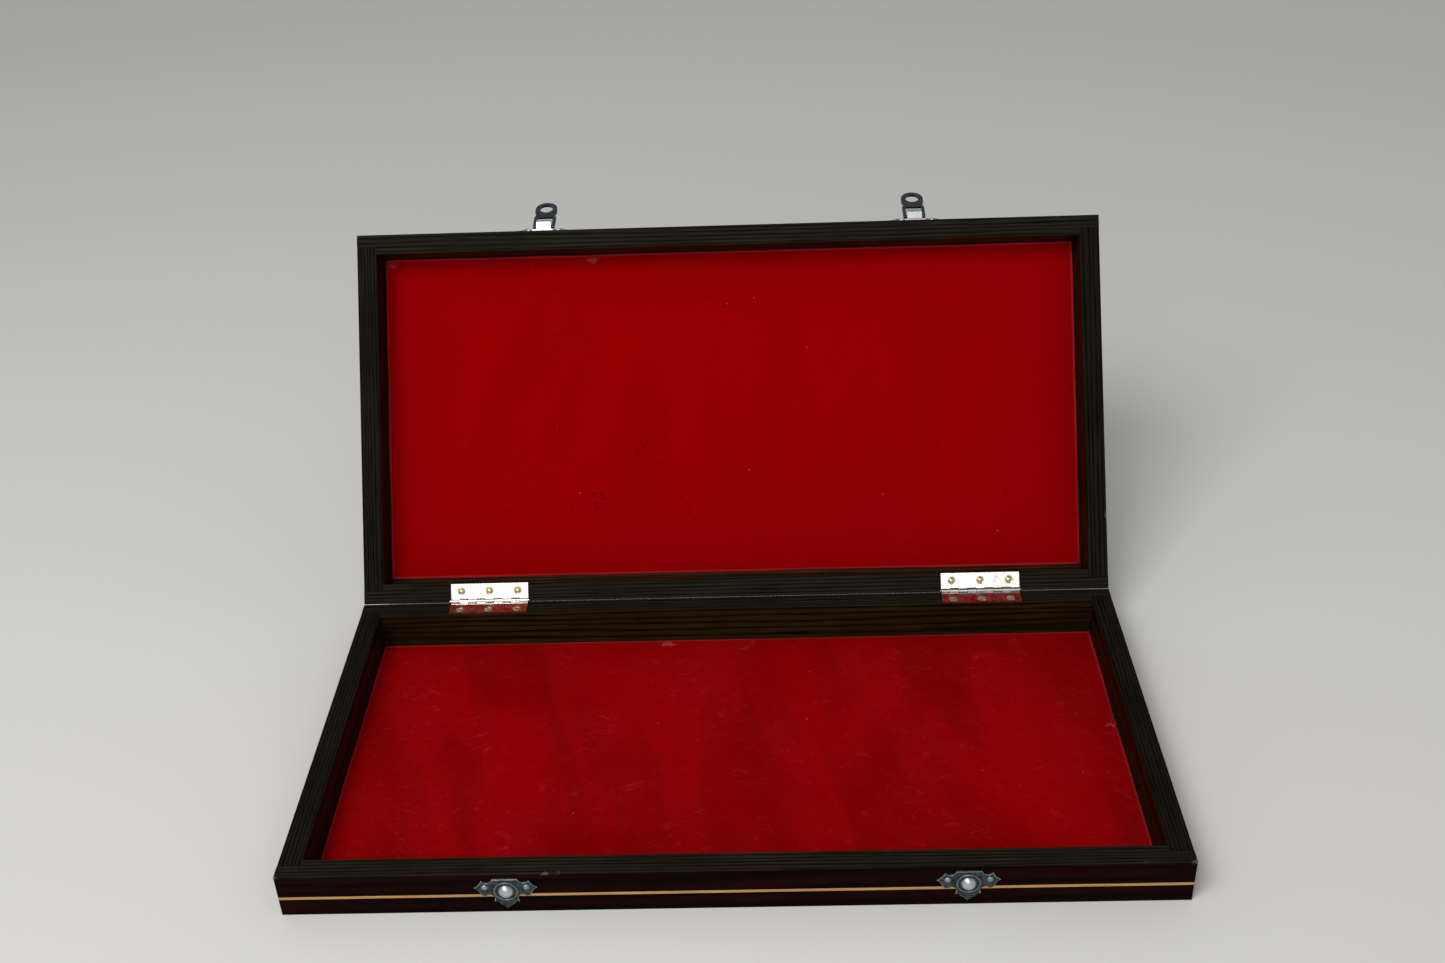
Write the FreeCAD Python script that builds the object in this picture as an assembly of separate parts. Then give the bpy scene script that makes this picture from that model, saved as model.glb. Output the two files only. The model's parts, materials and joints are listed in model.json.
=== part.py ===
import FreeCAD, Part
import math
import os
from FreeCAD import Vector

# A shallow wooden presentation case: two equal trays hinged along the back, lined with velvet, with the
# lid standing open. Sizes are in millimetres. X points right, Y to the back and Z up, and the origin is
# the middle of the lower tray's underside. Pieces of the lid are drawn where their twins in the lower
# tray lie, and are then mirrored across the hinge and swung up.

# Case
case_width = 400.0
case_depth = 200.0
tray_height = 23.0
lid_opening = 122.65           # degrees the lid has swung from lying rim to rim
hinge_gap = 2.6                # between the rims at the hinge axis, with the lid shut
front_gap = 0.4                # between the rims at the front, with the lid shut

# Rails
rail_thickness = 10.5
corner_lap = 4.0               # depth of the rebate that takes the end of a side rail
panel_lap = 4.0                # width of the rebate that takes the panel
outer_round = 0.4
inner_round = 0.3

# Panels and linings
panel_thickness = 3.2
panel_fit = 0.1
lining_thickness = 1.1
lining_fit = 0.3
lining_back_gap = 1.8          # between the lining and the back rail

# Inlay strips
inlay_height = 1.5
inlay_depth = 1.2
inlay_drop = 12.8              # of the middle of the strip below the rim

# Hinges
hinge_inset = 68.3             # from the case's end to the middle of a hinge
leaf_length = 41.6
leaf_thickness = 0.7
leaf_setback = 0.5             # from the leaf's edge to the rail's inner face
axis_inset = 0.65              # of the hinge axis from the back faces
knuckle_count = 9
knuckle_radius = 1.1
knuckle_space = 0.14           # between neighbouring knuckles
knuckle_relief = 0.3           # round the knuckles, in the other leaf
hinge_pin_radius = 0.45
hinge_pin_fit = 0.05
hinge_pin_head_radius = 0.8
hinge_pin_head_length = 0.4
hinge_pin_play = 0.15          # between a head and the leaves' ends

# Nails of the hinge leaves
leaf_nail_pitch = 15.2
base_nail_row = 6.75           # from the hinge axis
lid_nail_row = 5.4
leaf_nail_radius = 0.85
leaf_nail_length = 9.0
leaf_nail_head_radius = 1.8
leaf_sink_radius = 2.2         # mouth of the countersunk hole
base_nail_stand = 0.25         # of the head above the leaf
lid_nail_stand = 0.85

# Catch plates and hasp plates, cut from one stamping
left_catch_inset = 101.0       # from the case's left end to the middle of a catch
right_catch_inset = 97.7       # from the case's right end
catch_drop = 9.6               # of the stud's centre below the lower rim
hasp_drop = 7.1                # of the hasp's loop from the lid's rim
plate_thickness = 0.9
plate_nail_reach = 9.15        # of a nail from the plate's centre line
plate_nail_rise = 2.3          # of a nail towards the rim from the plate's centre
plate_nail_radius = 0.7
plate_nail_length = 7.0
plate_nail_head_radius = 1.4
plate_nail_head_height = 0.75
plate_border = 0.3             # width of the step round the plate's edge
plate_border_drop = 0.3
bead_radius = 5.0              # raised ring round the stud or the loop
bead_width = 1.0
bead_height = 0.3
nail_hole_fit = 0.03
nail_tip = 1.5

# Catch studs
stud_radius = 3.4
stud_height = 2.4              # of the dome above the plate
stud_shank_radius = 1.2
stud_shank_length = 5.0

# Loops and hasps
loop_width = 7.8
loop_height = 6.9              # above the rail's face
loop_thickness = 0.85
loop_fit = 0.06
hasp_width = 11.9
hasp_thickness = 1.2
hasp_pivot_height = 3.0        # above the rail's face
hasp_bar_radius = 0.9
hasp_bar_fit = 0.07
hasp_slot_clearance = 0.3
hasp_slot_end = 8.6            # from the pivot
hasp_eye_radius = 3.55
hasp_waist_radius = 4.0
hasp_waist_depth = 0.7
hasp_waist_place = 11.2        # from the pivot
hasp_opening = 137.0           # degrees the hasp has swung from lying along the front

half_width = case_width / 2
half_depth = case_depth / 2
hinge_axis = Vector(0, half_depth - axis_inset, tray_height + hinge_gap / 2)
leaf_reach = rail_thickness - axis_inset - leaf_setback
hasp_reach = hasp_drop + front_gap + catch_drop
loop_inner_radius = hasp_bar_radius + hasp_bar_fit
loop_outer_radius = loop_inner_radius + loop_thickness
X_AXIS = Vector(1, 0, 0)
Y_AXIS = Vector(0, 1, 0)
Z_AXIS = Vector(0, 0, 1)
ORIGIN = Vector(0, 0, 0)


def block(low, high):
    """Box between two corners."""
    size = Vector(*high) - Vector(*low)
    return Part.makeBox(size.x, size.y, size.z, Vector(*low))


def rounded_face(corners):
    """Flat face in XY through corners given as (x, y, radius)."""
    edges = []
    joins = []
    for index, (x, y, radius) in enumerate(corners):
        here = Vector(x, y, 0)
        before = Vector(*corners[index - 1][:2], 0) - here
        after = Vector(*corners[(index + 1) % len(corners)][:2], 0) - here
        if radius == 0:
            joins.append((here, here))
            continue
        before.normalize()
        after.normalize()
        half_angle = before.getAngle(after) / 2
        start = here + before * (radius / math.tan(half_angle))
        end = here + after * (radius / math.tan(half_angle))
        bisector = (before + after).normalize()
        middle = here + bisector * (radius / math.sin(half_angle) - radius)
        edges.append(Part.Arc(start, middle, end).toShape())
        joins.append((start, end))
    for index, (start, _) in enumerate(joins):
        edges.append(Part.makeLine(joins[index - 1][1], start))
    return Part.Face(Part.Wire(Part.__sortEdges__(edges)))


def turned(profile):
    """Solid of revolution about Z from (radius, height) points, where a triple adds an arc's middle point."""
    edges = []
    last = Vector(profile[0][0], 0, profile[0][1])
    for point in profile[1:]:
        here = Vector(point[0], 0, point[1])
        if len(point) == 2:
            edges.append(Part.makeLine(last, here))
        else:
            via = Vector(point[2][0], 0, point[2][1])
            edges.append(Part.Arc(last, via, here).toShape())
        last = here
    edges.append(Part.makeLine(last, edges[0].Vertexes[0].Point))
    return Part.Face(Part.Wire(edges)).revolve(ORIGIN, Z_AXIS, 360)


def dome_middle(radius, base, top):
    """Point halfway along the arc of a dome from its rim, at (radius, base), to its top on the axis."""
    rise = top - base
    sphere = (radius ** 2 + rise ** 2) / (2 * rise)
    half_angle = math.atan2(radius, sphere - rise) / 2
    return (sphere * math.sin(half_angle), top - sphere + sphere * math.cos(half_angle))


def to_lid(shape):
    """Moves a piece drawn in the lower tray to its twin's place in the open lid."""
    twin = shape.mirror(hinge_axis, Y_AXIS)
    twin.rotate(hinge_axis, X_AXIS, 180 - lid_opening)
    return twin


def on_front(shape, x, drop):
    """Stands a piece drawn flat in XY, facing +Z, on the front face, at x and drop below the rim."""
    placed = shape.copy()
    placed.rotate(ORIGIN, X_AXIS, 90)
    placed.translate(Vector(x, -half_depth, tray_height - drop))
    return placed


def rail_section():
    """Section of every rail: x inwards from the outer face, y from the tray's outer side to its rim."""
    rebate = rail_thickness - panel_lap
    return rounded_face([
        (0, 0, outer_round),
        (rebate, 0, 0),
        (rebate, panel_thickness, 0),
        (rail_thickness, panel_thickness, 0),
        (rail_thickness, tray_height, inner_round),
        (0, tray_height, outer_round),
    ])


def front_rail_blank():
    """Full-width rail, with a rebate across each end for the side rails."""
    section = rail_section()
    section.rotate(ORIGIN, X_AXIS, 90)
    section.rotate(ORIGIN, Z_AXIS, 90)
    section.translate(Vector(-half_width, -half_depth, 0))
    moulding = section.extrude(X_AXIS * case_width)
    tongue = rail_thickness - corner_lap
    shoulder = half_width - rail_thickness
    plan = rounded_face([
        (-half_width, 0, outer_round),
        (half_width, 0, outer_round),
        (half_width, tongue, 0),
        (shoulder, tongue, 0),
        (shoulder, rail_thickness, 0),
        (-shoulder, rail_thickness, 0),
        (-shoulder, tongue, 0),
        (-half_width, tongue, 0),
    ])
    plan.translate(Vector(0, -half_depth, 0))
    return moulding.common(plan.extrude(Z_AXIS * tray_height))


def side_rail_blank():
    """Left rail, which ends in the rebates of the front and back rails."""
    section = rail_section()
    section.rotate(ORIGIN, X_AXIS, 90)
    end = half_depth - rail_thickness + corner_lap
    section.translate(Vector(-half_width, end, 0))
    return section.extrude(Y_AXIS * (-2 * end))


def split_inlay(blank, low, high):
    """Cuts the groove for a strip out of a rail blank, and gives the rail and the strip."""
    bottom = tray_height - inlay_drop - inlay_height / 2
    groove = block((*low, bottom), (*high, bottom + inlay_height))
    return blank.cut(groove), blank.common(groove)


def hinge_places():
    return (hinge_inset - half_width, half_width - hinge_inset)


def leaf_nail_points(row):
    """Places of the nails of both leaves on a back rim."""
    return [
        Vector(x + step * leaf_nail_pitch, hinge_axis.y - row, tray_height)
        for x in hinge_places()
        for step in (-1, 0, 1)
    ]


def plate_places():
    return (left_catch_inset - half_width, half_width - right_catch_inset)


def plate_nail_points(drop):
    """Places of the plates' nails on the front face, as (x, distance below the rim)."""
    return [
        (x + side * plate_nail_reach, drop - plate_nail_rise)
        for x in plate_places()
        for side in (-1, 1)
    ]


def tray(front_drop, nail_row):
    """The wood and lining of one tray, by piece, with the holes for its nails."""
    front, front_inlay = split_inlay(
        front_rail_blank(), (-half_width, -half_depth), (half_width, -half_depth + inlay_depth)
    )
    back, back_inlay = (piece.mirror(ORIGIN, Y_AXIS) for piece in (front, front_inlay))
    left, left_inlay = split_inlay(
        side_rail_blank(), (-half_width, -half_depth), (-half_width + inlay_depth, half_depth)
    )
    right, right_inlay = (piece.mirror(ORIGIN, X_AXIS) for piece in (left, left_inlay))
    for x, drop in plate_nail_points(front_drop):
        hole = Part.makeCylinder(plate_nail_radius + nail_hole_fit, plate_nail_length, ORIGIN, -Z_AXIS)
        front = front.cut(on_front(hole, x, drop))
    for point in leaf_nail_points(nail_row):
        back = back.cut(Part.makeCylinder(leaf_nail_radius + nail_hole_fit, leaf_nail_length, point, -Z_AXIS))
    panel_edge = rail_thickness - panel_lap + panel_fit
    lining_edge = rail_thickness + lining_fit
    panel = block(
        (panel_edge - half_width, panel_edge - half_depth, 0),
        (half_width - panel_edge, half_depth - panel_edge, panel_thickness),
    )
    lining = block(
        (lining_edge - half_width, lining_edge - half_depth, panel_thickness),
        (
            half_width - lining_edge,
            half_depth - rail_thickness - lining_back_gap,
            panel_thickness + lining_thickness,
        ),
    )
    return {
        "front_rail": front,
        "back_rail": back,
        "left_rail": left,
        "right_rail": right,
        "panel": panel,
        "lining": lining,
        "front_inlay": front_inlay,
        "back_inlay": back_inlay,
        "left_inlay": left_inlay,
        "right_inlay": right_inlay,
    }


def hinge_leaf(x, first_knuckle, nail_row):
    """Leaf with its rolled knuckles, on the lower tray's back rim; every other knuckle is its own."""
    pitch = leaf_length / knuckle_count
    left_end = x - leaf_length / 2
    leaf = block(
        (left_end, hinge_axis.y - leaf_reach, tray_height),
        (left_end + leaf_length, hinge_axis.y, tray_height + leaf_thickness),
    )
    throat = hinge_axis.y - knuckle_radius - knuckle_relief
    for number in range(knuckle_count):
        start = left_end + number * pitch
        if number % 2 == first_knuckle:
            length = pitch - knuckle_space
            place = Vector(start + knuckle_space / 2, hinge_axis.y, hinge_axis.z)
            leaf = leaf.fuse(Part.makeCylinder(knuckle_radius, length, place, X_AXIS))
        else:
            gap = block(
                (start - knuckle_space / 2, throat, tray_height),
                (start + pitch + knuckle_space / 2, hinge_axis.y, hinge_axis.z),
            )
            leaf = leaf.cut(gap)
    bore_start = Vector(left_end, hinge_axis.y, hinge_axis.z)
    bore = Part.makeCylinder(hinge_pin_radius + hinge_pin_fit, leaf_length, bore_start, X_AXIS)
    leaf = leaf.cut(bore)
    for point in leaf_nail_points(nail_row):
        if abs(point.x - x) < leaf_length / 2:
            leaf = leaf.cut(
                Part.makeCone(leaf_nail_radius + nail_hole_fit, leaf_sink_radius, leaf_thickness, point)
            )
    return leaf.removeSplitter()


def hinge_pin(x):
    """Wire through the knuckles, with a peened head at each end."""
    half = leaf_length / 2 + hinge_pin_play
    head_end = half + hinge_pin_head_length
    pin = turned([
        (0, -head_end),
        (hinge_pin_head_radius, -head_end),
        (hinge_pin_head_radius, -half),
        (hinge_pin_radius, -half),
        (hinge_pin_radius, half),
        (hinge_pin_head_radius, half),
        (hinge_pin_head_radius, head_end),
        (0, head_end),
    ])
    pin.rotate(ORIGIN, Y_AXIS, 90)
    pin.translate(Vector(x, hinge_axis.y, hinge_axis.z))
    return pin


def leaf_nail(stand):
    """Round-headed nail seated in a countersunk hole, with its origin on the leaf's underside."""
    sink_slope = (leaf_sink_radius - leaf_nail_radius - nail_hole_fit) / leaf_thickness
    head_base = (leaf_nail_head_radius - leaf_nail_radius) / sink_slope
    top = leaf_thickness + stand
    return turned([
        (0, -leaf_nail_length),
        (leaf_nail_radius, -leaf_nail_length + nail_tip),
        (leaf_nail_radius, 0),
        (leaf_nail_head_radius, head_base),
        (0, top, dome_middle(leaf_nail_head_radius, head_base, top)),
    ])


def leaf_nails(row, stand):
    """All the nails of one rim's two leaves."""
    nails = []
    for point in leaf_nail_points(row):
        nail = leaf_nail(stand)
        nail.translate(point)
        nails.append(nail)
    return Part.makeCompound(nails)


def plate_half_outline():
    """Right half of the stamped outline, from top to tail: end points, with an arc's middle where curved."""
    return [
        ((5.6, 6.9), None),
        ((10.4, 6.1), (7.9, 4.8)),
        ((13.9, 1.9), (11.8, 3.6)),
        ((11.2, -1.6), (12.2, 0.4)),
        ((7.7, -2.0), (9.5, -2.9)),
        ((5.0, -4.2), (5.9, -2.7)),
        ((5.5, -6.3), None),
        ((2.9, -7.8), (3.9, -6.7)),
        ((0, -10.3), (1.7, -8.7)),
    ]


def stamped_plate():
    """Plate drawn flat in XY, Y towards the rim, with a stepped edge, a raised ring and nail holes."""
    half = []
    top = plate_half_outline()[0][0][1]
    last = Vector(0, top, 0)
    for end, via in plate_half_outline():
        here = Vector(*end, 0)
        if via is None:
            half.append(Part.makeLine(last, here))
        else:
            half.append(Part.Arc(last, Vector(*via, 0), here).toShape())
        last = here
    edges = half + [edge.mirror(ORIGIN, X_AXIS) for edge in half]
    outline = Part.Face(Part.Wire(Part.__sortEdges__(edges)))
    plate = outline.extrude(Z_AXIS * (plate_thickness - plate_border_drop))
    plate = plate.fuse(outline.makeOffset2D(-plate_border).extrude(Z_AXIS * plate_thickness))
    bead_top = plate_thickness + bead_height
    plate = plate.fuse(turned([
        (bead_radius - bead_width / 2, plate_thickness / 2),
        (bead_radius - bead_width / 2, plate_thickness),
        (bead_radius - bead_width / 2 + bead_height, bead_top),
        (bead_radius + bead_width / 2 - bead_height, bead_top),
        (bead_radius + bead_width / 2, plate_thickness),
        (bead_radius + bead_width / 2, plate_thickness / 2),
    ]))
    for side in (-1, 1):
        place = Vector(side * plate_nail_reach, plate_nail_rise, 0)
        plate = plate.cut(Part.makeCylinder(plate_nail_radius + nail_hole_fit, plate_thickness, place))
    return plate


def catch_plate():
    return stamped_plate().cut(Part.makeCylinder(stud_shank_radius + nail_hole_fit, plate_thickness))


def catch_stud():
    """Domed stud riveted through the plate, drawn facing +Z from the rail's face."""
    top = plate_thickness + stud_height
    return turned([
        (0, -stud_shank_length),
        (stud_shank_radius, -stud_shank_length),
        (stud_shank_radius, plate_thickness),
        (stud_radius, plate_thickness),
        (0, top, dome_middle(stud_radius, plate_thickness, top)),
    ])


def plate_nails(drop):
    """All the nails of one tray's two plates."""
    top = plate_thickness + plate_nail_head_height
    nail = turned([
        (0, -plate_nail_length),
        (plate_nail_radius, -plate_nail_length + nail_tip),
        (plate_nail_radius, plate_thickness),
        (plate_nail_head_radius, plate_thickness),
        (0, top, dome_middle(plate_nail_head_radius, plate_thickness, top)),
    ])
    return Part.makeCompound([on_front(nail, x, place) for x, place in plate_nail_points(drop)])


def arch(radius, height, width):
    """Upright strap outline, round at the top, standing on XY and running along X."""
    straight = height - radius
    legs = block((-width / 2, -radius, 0), (width / 2, radius, straight))
    crown = Part.makeCylinder(radius, width, Vector(-width / 2, 0, straight), X_AXIS)
    return legs.fuse(crown)


def hasp_loop():
    """Bent strap that carries the hasp; its feet pass through the plate to the rail's face."""
    hollow = arch(loop_inner_radius, loop_height - loop_thickness, loop_width)
    return arch(loop_outer_radius, loop_height, loop_width).cut(hollow).removeSplitter()


def hasp_plate():
    """Stamped plate with two slots for the loop's feet."""
    plate = stamped_plate()
    half = loop_width / 2 + loop_fit
    for side in (-1, 1):
        inner = side * (loop_inner_radius - loop_fit)
        outer = side * (loop_outer_radius + loop_fit)
        low, high = sorted((inner, outer))
        plate = plate.cut(block((-half, low, 0), (half, high, plate_thickness)))
    return plate


def hasp():
    """Stamped hasp drawn along +Y from its pivot, which is the round bar on the X axis."""
    half = hasp_width / 2
    low = -hasp_thickness / 2
    arm = loop_width / 2 + hasp_slot_clearance
    blank = block((-half, 0, low), (half, hasp_reach, -low))
    blank = blank.fuse(Part.makeCylinder(half, hasp_thickness, Vector(0, hasp_reach, low)))
    blank = blank.cut(block((-arm, 0, low), (arm, hasp_slot_end, -low)))
    blank = blank.cut(Part.makeCylinder(hasp_eye_radius, hasp_thickness, Vector(0, hasp_reach, low)))
    for side in (-1, 1):
        centre = side * (half + hasp_waist_radius - hasp_waist_depth)
        waist = Part.makeCylinder(hasp_waist_radius, hasp_thickness, Vector(centre, hasp_waist_place, low))
        blank = blank.cut(waist)
    bar = Part.makeCylinder(hasp_bar_radius, hasp_width, Vector(-half, 0, 0), X_AXIS)
    return blank.fuse(bar).removeSplitter()


def swung_hasp(x):
    """Hasp on the front face, swung out about its pivot."""
    swung = hasp()
    swung.rotate(ORIGIN, X_AXIS, hasp_opening)
    swung.translate(Z_AXIS * hasp_pivot_height)
    return on_front(swung, x, hasp_drop)


def all_nodes():
    """Every piece of the case, by name."""
    nodes = {}
    for name, piece in tray(catch_drop, base_nail_row).items():
        nodes["base_" + name] = piece
    for name, piece in tray(hasp_drop, lid_nail_row).items():
        nodes["lid_" + name] = to_lid(piece)
    stud_hole = Part.makeCylinder(stud_shank_radius + nail_hole_fit, stud_shank_length, ORIGIN, -Z_AXIS)
    for side, x in zip(("left", "right"), plate_places()):
        nodes["base_front_rail"] = nodes["base_front_rail"].cut(on_front(stud_hole, x, catch_drop))
        nodes[side + "_catch_plate"] = on_front(catch_plate(), x, catch_drop)
        nodes[side + "_catch_stud"] = on_front(catch_stud(), x, catch_drop)
        nodes[side + "_hasp_plate"] = to_lid(on_front(hasp_plate(), x, hasp_drop))
        nodes[side + "_hasp_loop"] = to_lid(on_front(hasp_loop(), x, hasp_drop))
        nodes[side + "_hasp"] = to_lid(swung_hasp(x))
    for side, x in zip(("left", "right"), hinge_places()):
        nodes[side + "_hinge_base_leaf"] = hinge_leaf(x, 1, base_nail_row)
        nodes[side + "_hinge_lid_leaf"] = to_lid(hinge_leaf(x, 0, lid_nail_row))
        nodes[side + "_hinge_pin"] = hinge_pin(x)
    nodes["base_hinge_nails"] = leaf_nails(base_nail_row, base_nail_stand)
    nodes["lid_hinge_nails"] = to_lid(leaf_nails(lid_nail_row, lid_nail_stand))
    nodes["catch_nails"] = plate_nails(catch_drop)
    nodes["hasp_plate_nails"] = to_lid(plate_nails(hasp_drop))
    return nodes


os.makedirs("parts", exist_ok=True)
for node, shape in all_nodes().items():
    shape.exportStep("parts/" + node + ".step")
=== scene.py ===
import json
import math
import random

import bmesh
import bpy
from bpy.props import FloatProperty, FloatVectorProperty, PointerProperty, StringProperty
from mathutils import Matrix, Vector, noise


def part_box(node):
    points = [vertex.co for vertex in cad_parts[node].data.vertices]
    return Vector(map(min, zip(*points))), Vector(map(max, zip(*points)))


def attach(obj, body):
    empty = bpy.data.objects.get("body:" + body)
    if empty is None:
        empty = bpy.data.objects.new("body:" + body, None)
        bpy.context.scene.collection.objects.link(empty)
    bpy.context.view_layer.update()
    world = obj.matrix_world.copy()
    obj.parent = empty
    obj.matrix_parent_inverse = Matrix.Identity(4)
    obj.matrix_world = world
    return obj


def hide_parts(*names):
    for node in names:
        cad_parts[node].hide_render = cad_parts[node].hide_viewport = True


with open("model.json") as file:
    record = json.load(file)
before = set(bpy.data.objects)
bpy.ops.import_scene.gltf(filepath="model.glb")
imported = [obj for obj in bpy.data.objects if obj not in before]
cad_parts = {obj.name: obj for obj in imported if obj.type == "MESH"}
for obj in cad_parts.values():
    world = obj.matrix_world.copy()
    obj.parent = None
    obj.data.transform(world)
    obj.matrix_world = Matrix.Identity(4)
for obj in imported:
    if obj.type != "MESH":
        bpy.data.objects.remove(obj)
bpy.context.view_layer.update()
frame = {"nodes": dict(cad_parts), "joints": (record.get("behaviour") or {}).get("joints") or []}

bl_info = {
    "name": "Presentation Case",
    "version": (1, 0, 0),
    "blender": (4, 5, 0),
    "location": "View3D > Sidebar > Case",
    "description": "Dresses a shallow hinged wooden case with stained wood, velvet and plated hardware",
    "category": "Object",
}

MM = 0.001
SIDES = ("front", "back", "left", "right")
TRAYS = ("base", "lid")
PAIR = ("left", "right")
# Parts of a tray's wood, the axis of their grain, the strength of their stain's tone, which on the side rails
# is painted shade where their grain looks darker in the light, and their nodes.
WOOD = (
    ("long rails", "X", 1.0, ("front_rail", "back_rail")),
    ("side rails", "Y", 0.65, ("left_rail", "right_rail")),
    ("panel", "X", 1.8, ("panel",)),
)
INLAYS = (
    ("long rails", "X", ("front_inlay", "back_inlay")),
    ("side rails", "Y", ("left_inlay", "right_inlay")),
)
# Heart of the tree that each tray's growth rings lie round, in metres.
HEARTS = {"base": Vector((0, 0.03, -0.02)), "lid": Vector((0.3, -0.02, -0.05))}
# Middle and reach of the knocks along the rims' outer edges, in millimetres.
KNOCKS = {
    "base": ((-81, -100, 23, 5), (-75, -99, 23, 4), (199, -100, 23, 7), (-200, -100, 23, 6)),
    "lid": ((-200, -100, 23, 6), (200, 60, 23, 5)),
}
# Share of each lining's pile that strokes and broad sweeps turn, and how far its pattern is moved, in metres.
BRUSHING = {"base": (0.52, 1.0, 0.37), "lid": (0.1, 0.3, 0.74)}
# Turns of the two sets of strokes in the pile, in degrees.
STROKES = (-68, 58)
# Middle and reach of the places where pile is worn off, in millimetres.
WORN_SPOTS = {
    "base": ((78, 53, 10), (148, -38, 8), (-116, 28, 6), (-32, 60, 14)),
    "lid": ((-76, 48, 30), (-50, 16, 18), (-94, 7, 14), (-24, 50, 18), (-4, -59, 6), (-30, -40, 6)),
}
# Middle of each loose tuft in millimetres, and its strands.
TUFTS = {"base": ((-36, 84, 45), (186, 11, 30)), "lid": ((-74, -86, 110), (-186, -86, 60))}
TUFT_SEED = 7
# Spread of a tuft's strands along and across the case, the angles they lean at, and how far they taper.
TUFT_SPREAD = (1.5 * MM, 0.8 * MM)
STRAND_LEAN = (50, 86)
STRAND_TAPER = 0.4
# Rise of the lower hinge leaves towards the back, in their material, for each millimetre.
LEAF_LIFT = 0.085
# Name, place and size of each light, in metres, and the setting that holds its power.
SOFTBOXES = (
    ("key softbox", Vector((-0.55, -0.8, 1.4)), (0.8, 0.8), "key_power"),
    ("front softbox", Vector((-0.04, -1.35, 0.85)), (0.95, 0.5), "front_power"),
)
SOFTBOX_AIM = Vector((0, 0.07, 0.06))
FLOOR_REACH = 6.0
# Heights on the room's sphere between which its walls turn into its ceiling.
CEILING_LINE = (0.75, 0.95)
HINGE = Vector(next(joint["pos_m"] for joint in frame["joints"] if joint["name"] == "lid_hinge"))
TRAY_LOW, TRAY_HIGH = (
    Vector(map(pick, *(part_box(f"base_{side}_rail")[end] for side in SIDES)))
    for end, pick in ((0, min), (1, max))
)


class CaseShape(bpy.types.PropertyGroup):
    """Sizes that the looks are laid out by."""

    lid_opening: FloatProperty(
        name="Lid opening",
        description="Angle of the lid from lying rim to rim",
        default=math.radians(122.65),
        subtype="ANGLE",
    )
    pile_round: FloatProperty(
        name="Pile round",
        description="How far in from its edge the velvet rolls down to the panel",
        default=0.45 * MM,
        unit="LENGTH",
    )
    pile_wave: FloatProperty(
        name="Pile wave",
        description="Height of the soft waves in the glued velvet",
        default=0.16 * MM,
        unit="LENGTH",
    )
    pile_wave_length: FloatProperty(
        name="Pile wave length",
        description="Distance from one soft wave in the velvet to the next",
        default=34 * MM,
        unit="LENGTH",
    )
    cut_wave: FloatProperty(
        name="Cut wave",
        description="How far the velvet's hand-cut edges wander inwards",
        default=0.5 * MM,
        unit="LENGTH",
    )
    strand_length: FloatProperty(
        name="Strand length", description="Longest strand of a loose tuft", default=2.2 * MM, unit="LENGTH"
    )
    strand_radius: FloatProperty(
        name="Strand radius", description="Radius of a strand of a loose tuft", default=0.09 * MM, unit="LENGTH"
    )
    plate_thickness: FloatProperty(
        name="Plate thickness",
        description="How far the stamped plates stand out of the wood",
        default=0.9 * MM,
        unit="LENGTH",
    )
    bead_radius: FloatProperty(
        name="Bead radius",
        description="Radius of the bead stamped round each stud and loop",
        default=5.0 * MM,
        unit="LENGTH",
    )
    mesh_pitch: FloatProperty(
        name="Velvet mesh pitch",
        description="Size of the faces of the velvet sheets",
        default=3.2 * MM,
        unit="LENGTH",
    )


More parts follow.
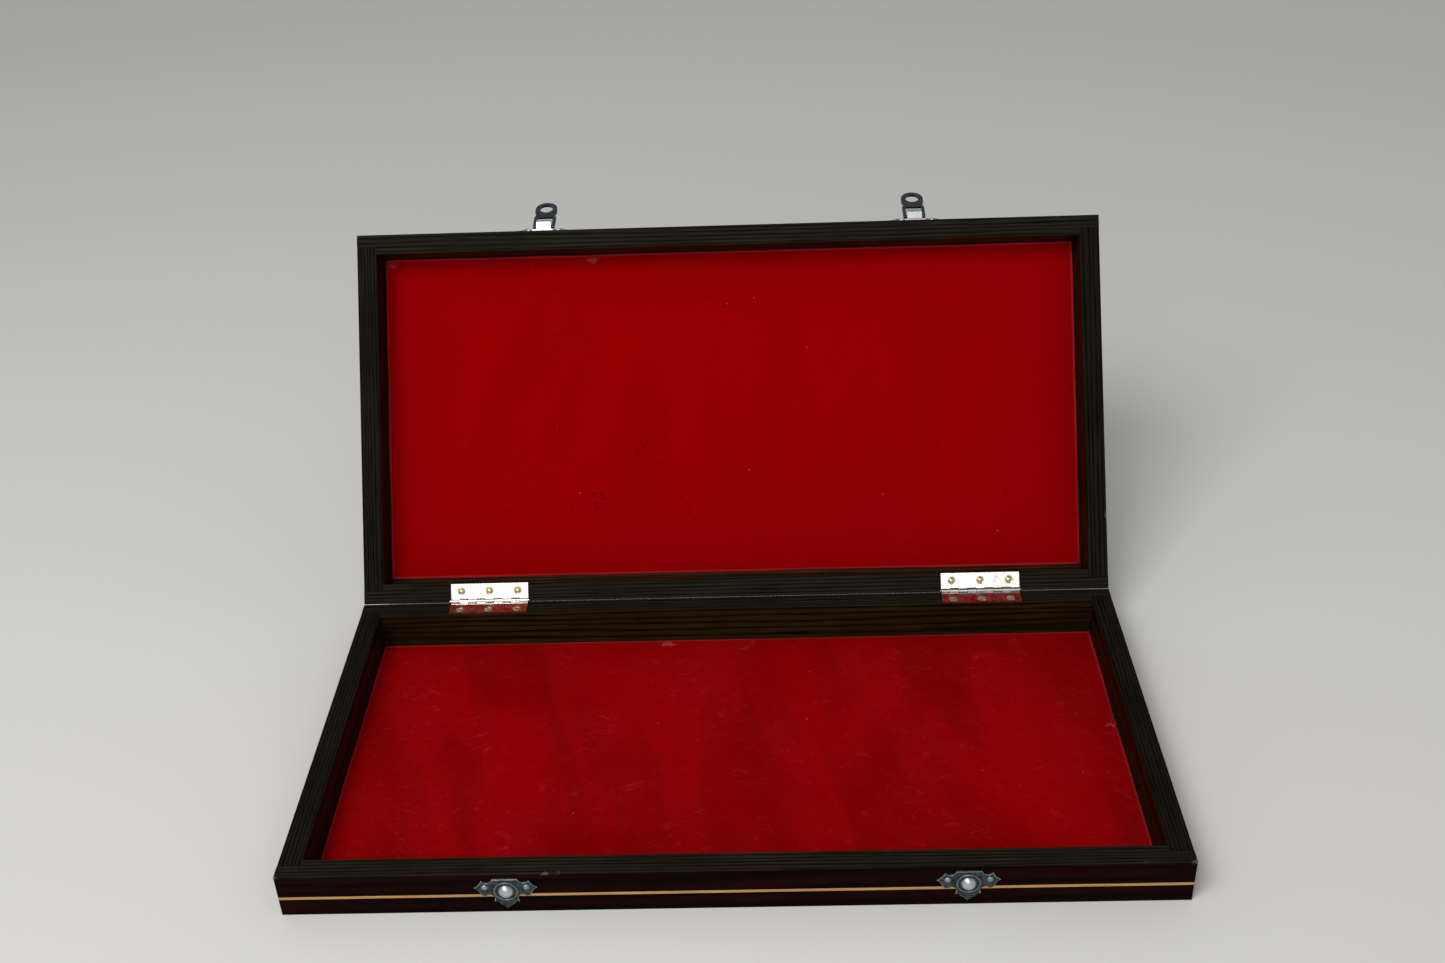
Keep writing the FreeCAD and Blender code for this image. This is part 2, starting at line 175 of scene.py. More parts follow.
class CaseColours(bpy.types.PropertyGroup):
    """Colours of the case, as sRGB hex values."""

    velvet: StringProperty(name="Velvet", description="Pile seen straight on", default="#9f0103")
    velvet_lit: StringProperty(name="Velvet lit", description="Pile turned to the light", default="#b82531")
    # Velvet deep also gives the painted shade towards the walls.
    velvet_deep: StringProperty(name="Velvet deep", description="Pile turned away", default="#890103")
    sheen: StringProperty(name="Sheen", description="Light in the tips of the pile", default="#ff3c3c")
    lint: StringProperty(name="Lint", description="Dust and lint on the pile", default="#c4605a")
    bald: StringProperty(name="Bald spots", description="Backing under worn pile", default="#4a0606")
    tuft: StringProperty(name="Tufts", description="Loose pile along the velvet's edges", default="#d9746d")
    rim: StringProperty(name="Rim", description="Stain worn grey on the rims", default="#27231a")
    rim_dark: StringProperty(name="Rim grain", description="Dark grain of the rims", default="#0a0806")
    inside: StringProperty(name="Inner faces", description="Pale growth on inner faces", default="#2f200f")
    inside_dark: StringProperty(name="Inner grain", description="Dark growth lines there", default="#0e0703")
    outside: StringProperty(name="Outer faces", description="Red-brown stain", default="#1a0503")
    outside_dark: StringProperty(name="Outer grain", description="Dark grain under it", default="#040101")
    worn: StringProperty(name="Worn edge", description="Bare wood on a rubbed edge", default="#6a5a42")
    inlay: StringProperty(name="Inlay", description="Pale stringing", default="#c79a5c")
    inlay_dark: StringProperty(name="Inlay grain", description="Darker grain of it", default="#9a6f3c")
    nickel: StringProperty(name="Nickel", description="Bright plate of the hinges", default="#d6d4cd")
    nickel_dull: StringProperty(name="Nickel dull", description="Tarnish on the hinges", default="#bcb9b0")
    brass: StringProperty(name="Brass", description="Heads of the hinge nails", default="#efe2b2")
    brass_dull: StringProperty(name="Brass dull", description="Tarnish on those nails", default="#c9b677")
    zinc: StringProperty(name="Zinc", description="Dull plate of the catches", default="#4d565c")
    # Zinc shade also gives the painted shade in the hollows round the beads.
    zinc_dark: StringProperty(name="Zinc shade", description="Tarnish on the catches", default="#23292d")
    # Painted highlight on the plates' stepped borders and beads.
    zinc_highlight: StringProperty(name="Zinc rubbed", description="Their raised edges", default="#c3c9cd")
    nail: StringProperty(name="Nail", description="Heads of the catches' nails", default="#a2a8ac")
    nail_dull: StringProperty(name="Nail dull", description="Tarnish on those nails", default="#5a6166")
    stud: StringProperty(name="Stud", description="Domes polished by use", default="#c4cace")
    stud_dull: StringProperty(name="Stud dull", description="Tarnish on the domes", default="#959ca1")
    loop: StringProperty(name="Loop", description="Bright plate of the hasps' loops", default="#d5d8da")
    loop_dull: StringProperty(name="Loop dull", description="Tarnish on the loops", default="#a4a9ad")
    floor: StringProperty(name="Floor", description="Studio floor", default="#efeeea")


class CaseStage(bpy.types.PropertyGroup):
    """Camera and studio."""

    camera_place: FloatVectorProperty(
        name="Camera place",
        description="Where the camera stands",
        default=(0.01942, -0.60062, 0.53338),
        subtype="TRANSLATION",
        unit="LENGTH",
    )
    camera_heading: FloatProperty(
        name="Camera heading", description="Turn to the right", default=-0.03293, subtype="ANGLE"
    )
    camera_pitch: FloatProperty(
        name="Camera pitch", description="Tilt above the horizon", default=-0.55775, subtype="ANGLE"
    )
    camera_roll: FloatProperty(
        name="Camera roll", description="Turn about the line of sight", default=-0.04135, subtype="ANGLE"
    )
    camera_lens: FloatProperty(
        name="Lens", description="Focal length on a 36 mm sensor", default=40.10, unit="CAMERA"
    )
    key_power: FloatProperty(
        name="Key", description="Softbox high on the left, in front", default=12.8, unit="POWER"
    )
    front_power: FloatProperty(
        name="Front", description="Softbox behind the camera", default=3.0, unit="POWER"
    )
    walls: FloatProperty(name="Walls", description="Light of the room's walls", default=0.55)
    ceiling: FloatProperty(name="Ceiling", description="Light of the room straight overhead", default=0.08)


def linear(hex_colour):
    """Linear RGBA of an sRGB hex colour."""
    channels = [int(hex_colour[i : i + 2], 16) / 255 for i in (1, 3, 5)]
    return [c / 12.92 if c <= 0.04045 else ((c + 0.055) / 1.055) ** 2.4 for c in channels] + [1.0]


def feed(tree, node, inputs):
    """Sets or links a node's inputs."""
    for key, value in inputs.items():
        if isinstance(value, bpy.types.NodeSocket):
            tree.links.new(value, node.inputs[key])
        else:
            node.inputs[key].default_value = value


def add(tree, kind, inputs=None, **settings):
    """Adds a node with its settings and inputs."""
    node = tree.nodes.new("ShaderNode" + kind)
    for name, value in settings.items():
        setattr(node, name, value)
    feed(tree, node, inputs or {})
    return node


def calc(tree, operation, first, second=0.0, **settings):
    """Result of an operation on numbers."""
    return add(tree, "Math", {0: first, 1: second}, operation=operation, **settings).outputs[0]


def vector(tree, operation, first, second=(0, 0, 0)):
    """Result of an operation on vectors: a number for a distance or a length, or else a vector."""
    result = "Value" if operation in ("DISTANCE", "LENGTH") else "Vector"
    return add(tree, "VectorMath", {0: first, 1: second}, operation=operation).outputs[result]


def remap(tree, value, start, end, low=0.0, high=1.0, **settings):
    """Value that goes from low to high, and no further, as another goes from start to end."""
    return add(tree, "MapRange", {
        "Value": value, "From Min": start, "From Max": end, "To Min": low, "To Max": high,
    }, **settings).outputs["Result"]


def mix(tree, share, under, over, **settings):
    """Colour that a share of another covers."""
    inputs = {"Factor": share, "A": under, "B": over}
    return add(tree, "Mix", inputs, data_type="RGBA", **settings).outputs["Result"]


def shaded(tree, colour, level):
    """Colour times a level."""
    grey = add(tree, "CombineColor", {channel: level for channel in ("Red", "Green", "Blue")})
    return mix(tree, 1.0, colour, grey.outputs["Color"], blend_type="MULTIPLY")


def mapped(tree, place, scale, turn=0.0, vector_type="POINT"):
    """Coordinates scaled along each axis and turned about Z."""
    inputs = {"Vector": place, "Scale": scale, "Rotation": (0, 0, turn)}
    return add(tree, "Mapping", inputs, vector_type=vector_type).outputs["Vector"]


def cloud(tree, place, size, detail, roughness=0.5, distortion=0.0):
    """Noise whose largest features have a size."""
    return add(tree, "TexNoise", {
        "Vector": place, "Scale": 1 / size, "Detail": detail, "Roughness": roughness, "Distortion": distortion,
    }).outputs["Fac"]


def cells(tree, place, size):
    """Distance from scattered points, in shares of their spacing."""
    return add(tree, "TexVoronoi", {"Vector": place, "Scale": 1 / size}).outputs["Distance"]


def bumped(tree, height, strength, depth, normal=None):
    """Normal of a surface with fine relief."""
    inputs = {"Height": height, "Strength": strength, "Distance": depth}
    if normal is not None:
        inputs["Normal"] = normal
    return add(tree, "Bump", inputs).outputs["Normal"]


def past_edges(tree, place, low, high):
    """Distance past the edges of an upright box, seen from above, and below zero inside it."""
    parts = add(tree, "SeparateXYZ", {"Vector": place})
    middle, half = (low + high) / 2, (high - low) / 2
    offsets = [calc(tree, "SUBTRACT", parts.outputs[axis], middle[axis]) for axis in (0, 1)]
    return calc(tree, "MAXIMUM", *(
        calc(tree, "SUBTRACT", calc(tree, "ABSOLUTE", offsets[axis]), half[axis]) for axis in (0, 1)
    ))


def near_spots(tree, place, spots, strength):
    """Strength in the middle of each spot, which fades to nothing at its reach."""
    most = 0.0
    for *middle, reach in spots:
        distance = vector(tree, "DISTANCE", place, Vector(middle) * MM)
        most = calc(tree, "MAXIMUM", remap(tree, distance, 0.0, reach * MM, strength, 0.0), most)
    return most


def along_grain(run, across, along):
    """Scale of a pattern along its grain and across it."""
    return Vector((run, across, across) if along == "X" else (across, run, across))


def new_material(name):
    """Empty material, its node tree and its shader."""
    material = bpy.data.materials.new(name)
    material.use_nodes = True
    tree = material.node_tree
    tree.nodes.clear()
    shader = add(tree, "BsdfPrincipled")
    add(tree, "OutputMaterial", {"Surface": shader.outputs["BSDF"]})
    return material, tree, shader


def dress(names, material):
    """Gives CAD nodes a material."""
    for name in names:
        piece = frame["nodes"][name]
        piece.data.materials.clear()
        piece.data.materials.append(material)


def new_piece(context, name, shape, material):
    """Object with a finished shape and one material."""
    mesh = bpy.data.meshes.new(name)
    shape.to_mesh(mesh)
    shape.free()
    mesh.materials.append(material)
    piece = bpy.data.objects.new(name, mesh)
    context.scene.collection.objects.link(piece)
    return piece


def tray_to_lid(case):
    """Moves a shape from the lower tray to its twin's place in the open lid."""
    mirror = Matrix.Scale(-1, 4, Vector((0, 1, 0)))
    swing = Matrix.Rotation(math.pi - case.lid_opening, 4, "X")
    return Matrix.Translation(HINGE) @ swing @ mirror @ Matrix.Translation(-HINGE)


def tray_coordinates(tree, tray, case):
    """Object coordinates, laid back into the lower tray for pieces of the lid."""
    place = add(tree, "TexCoord").outputs["Object"]
    if tray == "base":
        return place
    turn = math.pi - case.lid_opening
    shifted = Matrix.Rotation(turn, 3, "X") @ Vector((HINGE.x, -HINGE.y, HINGE.z))
    settings = {"Vector": place, "Scale": (1, -1, 1), "Rotation": (turn, 0, 0), "Location": HINGE - shifted}
    return add(tree, "Mapping", settings).outputs["Vector"]


def stained_wood(name, tray, along, tone_and_shade, case, colours):
    """Softwood, planed, stained and lacquered: greyed rims, striped inner faces, red-brown outer faces and
    edges rubbed to bare wood."""
    material, tree, shader = new_material(name)
    place = tray_coordinates(tree, tray, case)
    ring, fibre, fibre_run, blotch, chip = 1.8 * MM, 0.8 * MM, 20 * MM, 26 * MM, 7 * MM
    stretched = along_grain(0.04, 1, along)
    rings = add(tree, "TexWave", {
        "Vector": add(tree, "Mapping", {
            "Vector": place, "Scale": stretched, "Location": -HEARTS[tray] * stretched,
        }).outputs["Vector"],
        "Scale": math.tau / 20 / ring,
        "Distortion": 11.0,
        "Detail": 4.0,
        "Detail Scale": 0.3,
        "Detail Roughness": 0.62,
    }, wave_type="RINGS", rings_direction=along).outputs["Fac"]
    fibres = cloud(tree, mapped(tree, place, along_grain(1 / fibre_run, 1 / fibre, along)), 1.0, 3.0, 0.7)
    blotches = cloud(tree, place, blotch, 3.0)
    late_growth = remap(tree, rings, 0.3, 0.95, 0.0, remap(tree, blotches, 0.3, 0.7, 0.5, 1.0))
    streak = calc(tree, "ADD", late_growth, remap(tree, fibres, 0.3, 0.7, -0.4, 0.4), use_clamp=True)

    # Which of the faces a point lies on.
    height = add(tree, "SeparateXYZ", {"Vector": place}).outputs["Z"]
    past = past_edges(tree, place, TRAY_LOW, TRAY_HIGH)
    drop = calc(tree, "SUBTRACT", height, TRAY_HIGH.z)
    walls = remap(tree, past, -1.0 * MM, -0.45 * MM)
    underside = remap(tree, height, TRAY_LOW.z + 1.0 * MM, TRAY_LOW.z + 0.45 * MM)
    outer = calc(tree, "MAXIMUM", walls, underside)
    rim = remap(tree, drop, -0.55 * MM, -0.1 * MM)
    tones = {
        part: mix(tree, streak, linear(getattr(colours, part)), linear(getattr(colours, part + "_dark")))
        for part in ("inside", "outside", "rim")
    }
    faces = mix(tree, rim, mix(tree, outer, tones["inside"], tones["outside"]), tones["rim"])
    # The tone's strength scales the blotches; the side rails' weaker tone is painted shade.
    toned = shaded(tree, faces, remap(tree, blotches, 0.3, 0.7, 0.7 * tone_and_shade, 1.25 * tone_and_shade))

    # Bare wood where the rim's outer edge is rubbed, most of all at the knocks, and specks of dust.
    edge = vector(tree, "LENGTH", add(tree, "CombineXYZ", {"X": past, "Y": drop}).outputs["Vector"])
    near_edge = remap(tree, edge, 1.5 * MM, 0.2 * MM, interpolation_type="SMOOTHSTEP")
    chips = calc(tree, "ADD", cloud(tree, place, chip, 8.0, 0.75), near_spots(tree, place, KNOCKS[tray], 0.24))
    rubbed = calc(tree, "MULTIPLY", near_edge, remap(tree, chips, 0.66, 0.7))
    dust = remap(tree, cells(tree, place, blotch), 0.022, 0.01, 0.0, 0.8)
    gloss = remap(tree, rim, 0.0, 1.0, 0.36, 0.6)
    feed(tree, shader, {
        "Base Color": mix(tree, calc(tree, "MAXIMUM", rubbed, dust), toned, linear(colours.worn)),
        "Roughness": calc(tree, "ADD", gloss, remap(tree, fibres, 0.0, 1.0, -0.1, 0.12)),
        "Specular IOR Level": 0.02,
        "Normal": bumped(tree, fibres, 0.35, 0.12 * MM),
    })
    return material


def pale_stringing(name, tray, along, case, colours):
    """Boxwood stringing under lacquer: cream with fine straight grain."""
    material, tree, shader = new_material(name)
    place = tray_coordinates(tree, tray, case)
    across, run = 0.7 * MM, 24 * MM
    grain = cloud(tree, mapped(tree, place, along_grain(1 / run, 1 / across, along)), 1.0, 4.0, 0.65)
    dark = remap(tree, grain, 0.42, 0.75)
    feed(tree, shader, {
        "Base Color": mix(tree, dark, linear(colours.inlay), linear(colours.inlay_dark)),
        "Roughness": 0.42,
        "Specular IOR Level": 0.35,
        "Normal": bumped(tree, grain, 0.2, 0.08 * MM),
    })
    return material


def cut_velvet(name, tray, case, colours):
    """Short-pile cotton velvet, glued down: a deep red that turns lighter in curved strokes where the pile is
    brushed, with a painted highlight along its cut edge, painted shade towards the walls, lint, and specks
    where the pile is worn off."""
    material, tree, shader = new_material(name)
    place = tray_coordinates(tree, tray, case)
    brushed, swept, seed = BRUSHING[tray]
    flat = vector(tree, "MULTIPLY", place, (1, 1, 0))
    moved = vector(tree, "ADD", flat, (seed, 2 * seed, 0))
    # Real pile is finer than this, and is drawn coarse enough to show.
    pile = cloud(tree, moved, 0.9 * MM, 3.0, 0.75)

    # Darker in broad sweeps of the pile, and painted shade towards the walls.
    band = mapped(tree, moved, (30 * MM, 130 * MM, 1), math.radians(12), "TEXTURE")
    sweep = cloud(tree, band, 1.0, 2.0, distortion=0.5)
    sweeps = remap(tree, sweep, 0.35, 0.65, 0.0, swept, interpolation_type="SMOOTHSTEP")
    margin = past_edges(tree, place, *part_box("base_lining"))
    # Painted shade near the walls, mixed in with the darker sweeps.
    wall_shade = remap(tree, margin, -45 * MM, -2 * MM, 0.0, 0.5)
    turned_away_and_wall_shade = calc(tree, "MAXIMUM", sweeps, wall_shade)
    ground = mix(tree, turned_away_and_wall_shade, linear(colours.velvet), linear(colours.velvet_deep))

    # Lighter in strokes where it was handled, and a painted highlight along its cut edge.
    strokes = []
    for turn in STROKES:
        stroke = mapped(tree, moved, (3.6 * MM, 10 * MM, 1), math.radians(turn), "TEXTURE")
        ridges = cloud(tree, stroke, 1.0, 5.0, 0.6, 0.9)
        strokes.append(remap(tree, ridges, 0.57, 0.74, interpolation_type="SMOOTHSTEP"))
    handled = remap(tree, cloud(tree, moved, 48 * MM, 8.0, 0.66), 0.4, 0.66, 0.15 * brushed, brushed)
    raised = calc(tree, "MULTIPLY", calc(tree, "ADD", calc(tree, "MAXIMUM", *strokes), 0.2), handled)
    # Painted highlight along the cut edge of the pile.
    border = remap(tree, margin, -1.8 * MM, -0.9 * MM, 0.0, 0.8)
    lit = mix(tree, calc(tree, "MAXIMUM", raised, border), ground, linear(colours.velvet_lit))

    # Ragged specks of bare backing at the worn spots, and flecks of lint.
    jags = add(tree, "TexNoise", {"Vector": moved, "Scale": 1 / (2 * MM), "Detail": 2.0}).outputs["Color"]
    ragged = vector(tree, "ADD", moved, vector(tree, "MULTIPLY", jags, (2.5 * MM, 2.5 * MM, 0)))
    spots = near_spots(tree, flat, [(x, y, 0, reach) for x, y, reach in WORN_SPOTS[tray]], 0.3)
    specks = calc(tree, "SUBTRACT", spots, cells(tree, ragged, 4.5 * MM))
    worn = mix(tree, remap(tree, specks, 0.0, 0.09, 0.0, 0.55), lit, linear(colours.bald))
    dust = cells(tree, mapped(tree, ragged, (14 * MM, 22 * MM, 1), 0.6, "TEXTURE"), 1.0)
    linted = mix(tree, remap(tree, dust, 0.034, 0.014, 0.0, 0.55), worn, linear(colours.lint))
    feed(tree, shader, {
        "Base Color": shaded(tree, linted, remap(tree, pile, 0.25, 0.75, 0.86, 1.12)),
        "Roughness": 1.0,
        "Specular IOR Level": 0.0,
        "Sheen Weight": 0.06,
        "Sheen Roughness": 0.4,
        "Sheen Tint": linear(colours.sheen),
        "Normal": bumped(tree, pile, 0.4, 0.25 * MM),
    })
    return material


def loose_pile(name, colours):
    """Cotton pile pulled out of the cloth: matt, paler than the velvet and uneven."""
    material, tree, shader = new_material(name)
    uneven = cloud(tree, add(tree, "TexCoord").outputs["Object"], 1.2 * MM, 3.0)
    feed(tree, shader, {
        "Base Color": mix(tree, uneven, linear(colours.tuft), linear(colours.velvet_lit)),
        "Roughness": 1.0,
        "Specular IOR Level": 0.05,
        "Normal": bumped(tree, uneven, 0.3, 0.05 * MM),
    })
    return material


def stamped_zinc(name, tray, middles, case, colours):
    """Zinc plate on stamped sheet: blue-grey and cloudy, with painted highlights along its stepped border and
    on the bead in its middle, and painted shade in the hollows on both sides of the bead."""
    material, tree, shader = new_material(name)
    place = tray_coordinates(tree, tray, case)
    clouds = cloud(tree, place, 2.2 * MM, 4.0, 0.6)
    plate = mix(tree, remap(tree, clouds, 0.4, 0.68), linear(colours.zinc), linear(colours.zinc_dark))
    front = add(tree, "SeparateXYZ", {"Vector": place}).outputs["Y"]
    face = TRAY_LOW.y - case.plate_thickness
    # Painted highlights along the stepped border and on the bead.
    border_highlight = remap(tree, front, face + 0.1 * MM, face + 0.2 * MM, 0.0, 0.8)
    bead = remap(tree, front, face - 0.12 * MM, face - 0.28 * MM, 0.0, 0.3)
    # The plate with these painted highlights mixed in.
    rubbed = mix(tree, calc(tree, "MAXIMUM", border_highlight, bead), plate, linear(colours.zinc_highlight))
    across = vector(tree, "MULTIPLY", place, (1, 0, 1))
    # Painted shade in the hollows on both sides of each bead.
    hollow_shade = 0.0
    for middle in middles:
        radius = vector(tree, "DISTANCE", across, (middle.x, 0, middle.z))
        off_bead = calc(tree, "ABSOLUTE", calc(tree, "SUBTRACT", radius, case.bead_radius))
        starts = remap(tree, off_bead, 0.45 * MM, 0.65 * MM)
        ends = remap(tree, off_bead, 1.7 * MM, 0.9 * MM)
        hollow_shade = calc(tree, "MAXIMUM", calc(tree, "MULTIPLY", starts, ends), hollow_shade)
    feed(tree, shader, {
        "Base Color": mix(tree, calc(tree, "MULTIPLY", hollow_shade, 0.45), rubbed, linear(colours.zinc_dark)),
        "Metallic": 1.0,
        "Roughness": remap(tree, clouds, 0.3, 0.75, 0.3, 0.5),
        "Normal": bumped(tree, cloud(tree, place, 0.5 * MM, 2.0), 0.15, 0.05 * MM),
    })
    return material


def plated_metal(name, bright, dull, polish, grit, lift=0.0):
    """Plated sheet or wire: a bright skin with cloudy tarnish and fine rub marks. A leaf that its barrel lifts
    along the back, by lift for each millimetre, mirrors the lid's velvet."""
    material, tree, shader = new_material(name)
    place = add(tree, "TexCoord").outputs["Object"]
    clouds = cloud(tree, place, 3.5 * MM, 5.0, 0.62)
    rub = cloud(tree, mapped(tree, place, (1 / (5 * MM), 1 / grit, 1 / grit), 0.35), 1.0, 2.0)
    slope = None
    if lift:
        back = add(tree, "SeparateXYZ", {"Vector": place}).outputs["Y"]
        slope = bumped(tree, calc(tree, "MULTIPLY", back, 1 / MM), 1.0, lift * MM)
    feed(tree, shader, {
        "Base Color": mix(tree, remap(tree, clouds, 0.52, 0.82), linear(bright), linear(dull)),
        "Metallic": 1.0,
        "Roughness": remap(tree, clouds, 0.3, 0.75, polish, polish + 0.22),
        "Normal": bumped(tree, rub, 0.12, 0.05 * MM, slope),
    })
    return material


class CASE_OT_wood(bpy.types.Operator):
    """Stains and lacquers the rails and panels of both trays"""

    bl_idname = "case.wood"
    bl_label = "Rails and panels"

    def execute(self, context):
        case, colours = context.scene.case_shape, context.scene.case_colours
        for tray in TRAYS:
            for part, along, tone_and_shade, nodes in WOOD:
                wood = stained_wood(f"stained softwood, {tray} {part}", tray, along, tone_and_shade, case, colours)
                dress([f"{tray}_{node}" for node in nodes], wood)
        return {"FINISHED"}


class CASE_OT_inlays(bpy.types.Operator):
    """Finishes the pale strips in the rails' outer faces"""

    bl_idname = "case.inlays"
    bl_label = "Inlay strips"

    def execute(self, context):
        case, colours = context.scene.case_shape, context.scene.case_colours
        for tray in TRAYS:
            for part, along, nodes in INLAYS:
                inlay = pale_stringing(f"boxwood stringing, {tray} {part}", tray, along, case, colours)
                dress([f"{tray}_{node}" for node in nodes], inlay)
        return {"FINISHED"}


class CASE_OT_linings(bpy.types.Operator):
    """Lays a sheet of velvet on each tray's panel, rolled down at its edges"""

    bl_idname = "case.linings"
    bl_label = "Velvet linings"

    def execute(self, context):
        case, colours = context.scene.case_shape, context.scene.case_colours
        low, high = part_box("base_lining")
        size, middle = high - low, (low + high) / 2
        top = high.z - case.pile_wave
        # The hem ends just off the panel, and the edges that roll down are sharp and nearly level.
        hem_gap, weld = 0.02 * MM, 0.01 * MM
        sharp, level = math.radians(60), 0.1 * MM
        for number, tray in enumerate(TRAYS):
            sheet = bmesh.new()
            bmesh.ops.create_grid(
                sheet,
                x_segments=round(size.x / case.mesh_pitch),
                y_segments=round(size.y / case.mesh_pitch),
                size=0.5,
            )
            bmesh.ops.scale(sheet, vec=(size.x, size.y, 1), verts=sheet.verts)
            bmesh.ops.translate(sheet, vec=(middle.x, middle.y, top), verts=sheet.verts)
            for vert in sheet.verts:
                # Each sheet takes its waves from a layer of the noise of its own.
                wave = noise.noise(vert.co / case.pile_wave_length + Vector((0, 0, 7 * number)))
                if vert.is_boundary:
                    outward = vert.co - middle
                    outward.z = 0
                    vert.co -= outward.normalized() * case.cut_wave * (0.5 + wave)
                else:
                    vert.co.z += case.pile_wave * wave
            border = [edge for edge in sheet.edges if edge.is_boundary]
            hem = bmesh.ops.extrude_edge_only(sheet, edges=border)["geom"]
            skirt = [item for item in hem if isinstance(item, bmesh.types.BMVert)]
            bmesh.ops.translate(sheet, vec=(0, 0, low.z + hem_gap - top), verts=skirt)
            shoulder = [
                edge for edge in sheet.edges
                if len(edge.link_faces) == 2 and edge.calc_face_angle(0) > sharp
                and abs(edge.verts[0].co.z - edge.verts[1].co.z) < level
            ]
            bmesh.ops.bevel(
                sheet, geom=shoulder, offset=case.pile_round, segments=3, profile=0.5,
                affect="EDGES", material=-1, clamp_overlap=True,
            )
            if tray == "lid":
                bmesh.ops.transform(sheet, matrix=tray_to_lid(case), verts=sheet.verts)
            bmesh.ops.remove_doubles(sheet, verts=sheet.verts, dist=weld)
            bmesh.ops.recalc_face_normals(sheet, faces=sheet.faces)
            for face in sheet.faces:
                face.smooth = True
            velvet = cut_velvet(f"cut velvet, {tray}", tray, case, colours)
            piece = new_piece(context, f"{tray}_velvet", sheet, velvet)
            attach(piece, tray)
            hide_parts(f"{tray}_lining")
        return {"FINISHED"}


class CASE_OT_tufts(bpy.types.Operator):
    """Leaves loose tufts of pile along the edges of the velvet"""

    bl_idname = "case.tufts"
    bl_label = "Loose tufts"

    def execute(self, context):
        case, colours = context.scene.case_shape, context.scene.case_colours
        low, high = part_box("base_lining")
        draw = random.Random(TUFT_SEED)
        fluff = loose_pile("loose cotton pile", colours)
        for tray in TRAYS:
            tufts = bmesh.new()
            for x, y, strands in TUFTS[tray]:
                for _ in range(strands):
                    length = case.strand_length * draw.uniform(0.5, 1.0)
                    root = Vector((x * MM, y * MM, high.z - case.pile_wave))
                    for axis in (0, 1):
                        root[axis] += draw.gauss(0, TUFT_SPREAD[axis])
                        least, most = low[axis] + case.strand_length, high[axis] - case.strand_length
                        root[axis] = min(max(root[axis], least), most)
                    lean = Matrix.Rotation(math.radians(draw.uniform(*STRAND_LEAN)), 4, "X")
                    turn = Matrix.Rotation(draw.uniform(0, math.tau), 4, "Z")
                    stand = Matrix.Translation((0, 0, length / 2))
                    bmesh.ops.create_cone(
                        tufts, cap_ends=True, segments=3, depth=length,
                        radius1=case.strand_radius, radius2=STRAND_TAPER * case.strand_radius,
                        matrix=Matrix.Translation(root) @ turn @ lean @ stand,
                    )
            if tray == "lid":
                bmesh.ops.transform(tufts, matrix=tray_to_lid(case), verts=tufts.verts)
                bmesh.ops.recalc_face_normals(tufts, faces=tufts.faces)
            piece = new_piece(context, f"{tray}_tufts", tufts, fluff)
            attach(piece, tray)
        return {"FINISHED"}


class CASE_OT_hinges(bpy.types.Operator):
    """Plates the hinge leaves and pins, and polishes the nails in them"""

    bl_idname = "case.hinges"
    bl_label = "Hinges"

    def execute(self, context):
        colours = context.scene.case_colours
        plate = (colours.nickel, colours.nickel_dull, 0.1, 0.4 * MM)
        nickel = plated_metal("bright nickel plate on rolled sheet", *plate)
        brass = plated_metal("polished brass nail", colours.brass, colours.brass_dull, 0.26, 0.3 * MM)
        lifted = plated_metal("bright nickel plate on a lifted leaf", *plate, lift=LEAF_LIFT)
        dress([f"{side}_hinge_lid_leaf" for side in PAIR], nickel)
        dress([f"{side}_hinge_base_leaf" for side in PAIR], lifted)
        dress([f"{side}_hinge_pin" for side in PAIR], nickel)
        dress([f"{tray}_hinge_nails" for tray in TRAYS], brass)
        return {"FINISHED"}


class CASE_OT_catches(bpy.types.Operator):
    """Finishes the stamped plates, studs, loops, hasps and their nails"""

    bl_idname = "case.catches"
    bl_label = "Catches and hasps"

    def execute(self, context):
        case, colours = context.scene.case_shape, context.scene.case_colours
        to_tray = tray_to_lid(case).inverted()
        studs, loops = (
            [sum(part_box(f"{side}_{piece}"), Vector()) / 2 for side in PAIR]
            for piece in ("catch_stud", "hasp_loop")
        )
        loops = [to_tray @ loop for loop in loops]
        catch = stamped_zinc("dull zinc plate on stamped catch", "base", studs, case, colours)
        holder = stamped_zinc("dull zinc plate on stamped holder", "lid", loops, case, colours)
        hasp = plated_metal("dull zinc plate on stamped hasp", colours.zinc, colours.zinc_dark, 0.32, 0.5 * MM)
        nail = plated_metal("zinc plate on nail heads", colours.nail, colours.nail_dull, 0.28, 0.3 * MM)
        stud = plated_metal("zinc plate polished by use", colours.stud, colours.stud_dull, 0.3, 0.4 * MM)
        wire = plated_metal("bright zinc plate on wire", colours.loop, colours.loop_dull, 0.3, 0.4 * MM)
        dress([f"{side}_catch_plate" for side in PAIR], catch)
        dress([f"{side}_hasp_plate" for side in PAIR], holder)
        dress([f"{side}_hasp" for side in PAIR], hasp)
        dress(["catch_nails", "hasp_plate_nails"], nail)
        dress([f"{side}_catch_stud" for side in PAIR], stud)
        dress([f"{side}_hasp_loop" for side in PAIR], wire)
        return {"FINISHED"}


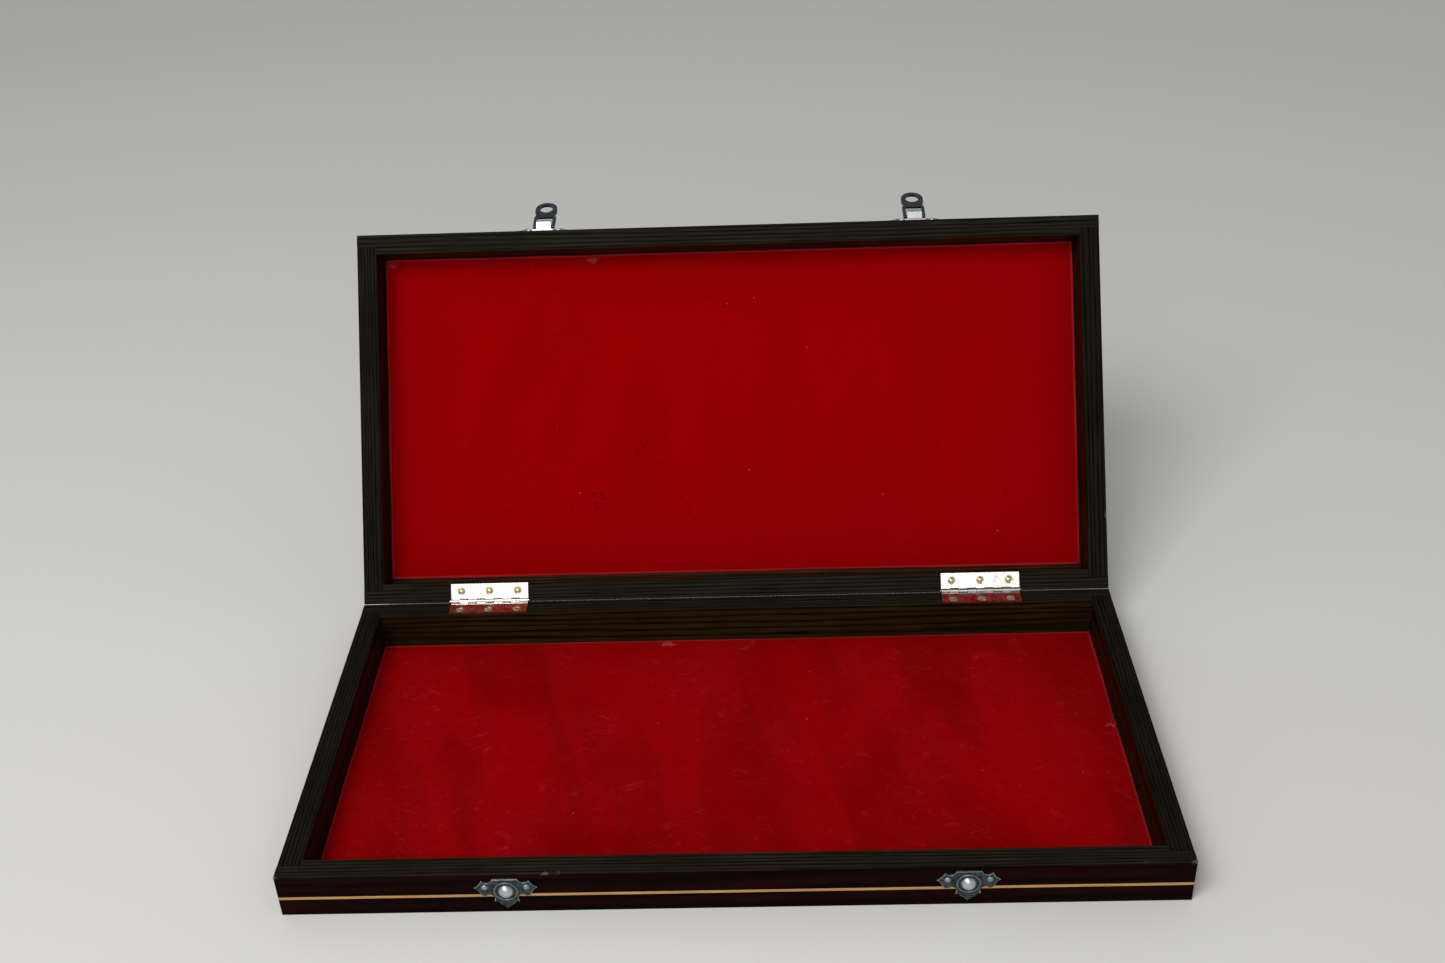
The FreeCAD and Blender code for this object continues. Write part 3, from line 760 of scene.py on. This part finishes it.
class CASE_OT_stage(bpy.types.Operator):
    """Sets the floor, the soft lights and the camera"""

    bl_idname = "case.stage"
    bl_label = "Stage"

    def execute(self, context):
        scene, stage, colours = context.scene, context.scene.case_stage, context.scene.case_colours
        material, tree, shader = new_material("pale studio floor")
        feed(tree, shader, {
            "Base Color": linear(colours.floor), "Roughness": 0.9, "Specular IOR Level": 0.1,
        })
        ground = bmesh.new()
        bmesh.ops.create_grid(ground, x_segments=1, y_segments=1, size=FLOOR_REACH)
        new_piece(context, "floor", ground, material)
        for name, place, size, power in SOFTBOXES:
            light = bpy.data.lights.new(name, "AREA")
            light.shape = "RECTANGLE"
            light.size, light.size_y = size
            light.energy = getattr(stage, power)
            lamp = bpy.data.objects.new(name, light)
            lamp.location = place
            lamp.rotation_mode = "QUATERNION"
            lamp.rotation_quaternion = (SOFTBOX_AIM - place).to_track_quat("-Z", "Y")
            scene.collection.objects.link(lamp)
        world = bpy.data.worlds.new("studio room")
        world.use_nodes = True
        room = world.node_tree
        room.nodes.clear()
        # The room is dim straight overhead, so that flat metal doesn't mirror a white ceiling.
        direction = add(room, "TexCoord").outputs["Generated"]
        upward = add(room, "SeparateXYZ", {"Vector": direction}).outputs["Z"]
        level = remap(room, upward, *CEILING_LINE, stage.walls, stage.ceiling)
        glow = add(room, "Background", {"Strength": level})
        add(room, "OutputWorld", {"Surface": glow.outputs["Background"]})
        scene.world = world
        scene.view_settings.view_transform = "Standard"
        lens = bpy.data.cameras.new("camera")
        lens.sensor_width = 36
        lens.lens = stage.camera_lens
        camera = bpy.data.objects.new("camera", lens)
        scene.collection.objects.link(camera)
        camera.matrix_world = (
            Matrix.Translation(stage.camera_place)
            @ Matrix.Rotation(-stage.camera_heading, 4, "Z")
            @ Matrix.Rotation(math.pi / 2 + stage.camera_pitch, 4, "X")
            @ Matrix.Rotation(stage.camera_roll, 4, "Z")
        )
        scene.camera = camera
        return {"FINISHED"}


OPERATORS = (
    CASE_OT_wood,
    CASE_OT_inlays,
    CASE_OT_linings,
    CASE_OT_tufts,
    CASE_OT_hinges,
    CASE_OT_catches,
    CASE_OT_stage,
)


class CASE_PT_sidebar(bpy.types.Panel):
    """Lists the case's pieces, sizes and colours"""

    bl_idname = "CASE_PT_sidebar"
    bl_label = "Presentation Case"
    bl_space_type = "VIEW_3D"
    bl_region_type = "UI"
    bl_category = "Case"

    def draw(self, context):
        for group in (context.scene.case_shape, context.scene.case_colours, context.scene.case_stage):
            for name in group.__annotations__:
                self.layout.prop(group, name)
        for operator in OPERATORS:
            self.layout.operator(operator.bl_idname)


GROUPS = {"case_shape": CaseShape, "case_colours": CaseColours, "case_stage": CaseStage}


def register():
    for item in (*GROUPS.values(), *OPERATORS, CASE_PT_sidebar):
        bpy.utils.register_class(item)
    for name, group in GROUPS.items():
        setattr(bpy.types.Scene, name, PointerProperty(type=group))


def unregister():
    for name in GROUPS:
        delattr(bpy.types.Scene, name)
    for item in reversed((*GROUPS.values(), *OPERATORS, CASE_PT_sidebar)):
        bpy.utils.unregister_class(item)


def main():
    """Dresses the case."""
    register()
    bpy.ops.case.wood()
    bpy.ops.case.inlays()
    bpy.ops.case.linings()
    bpy.ops.case.tufts()
    bpy.ops.case.hinges()
    bpy.ops.case.catches()
    bpy.ops.case.stage()


if __name__ == "__main__":
    main()
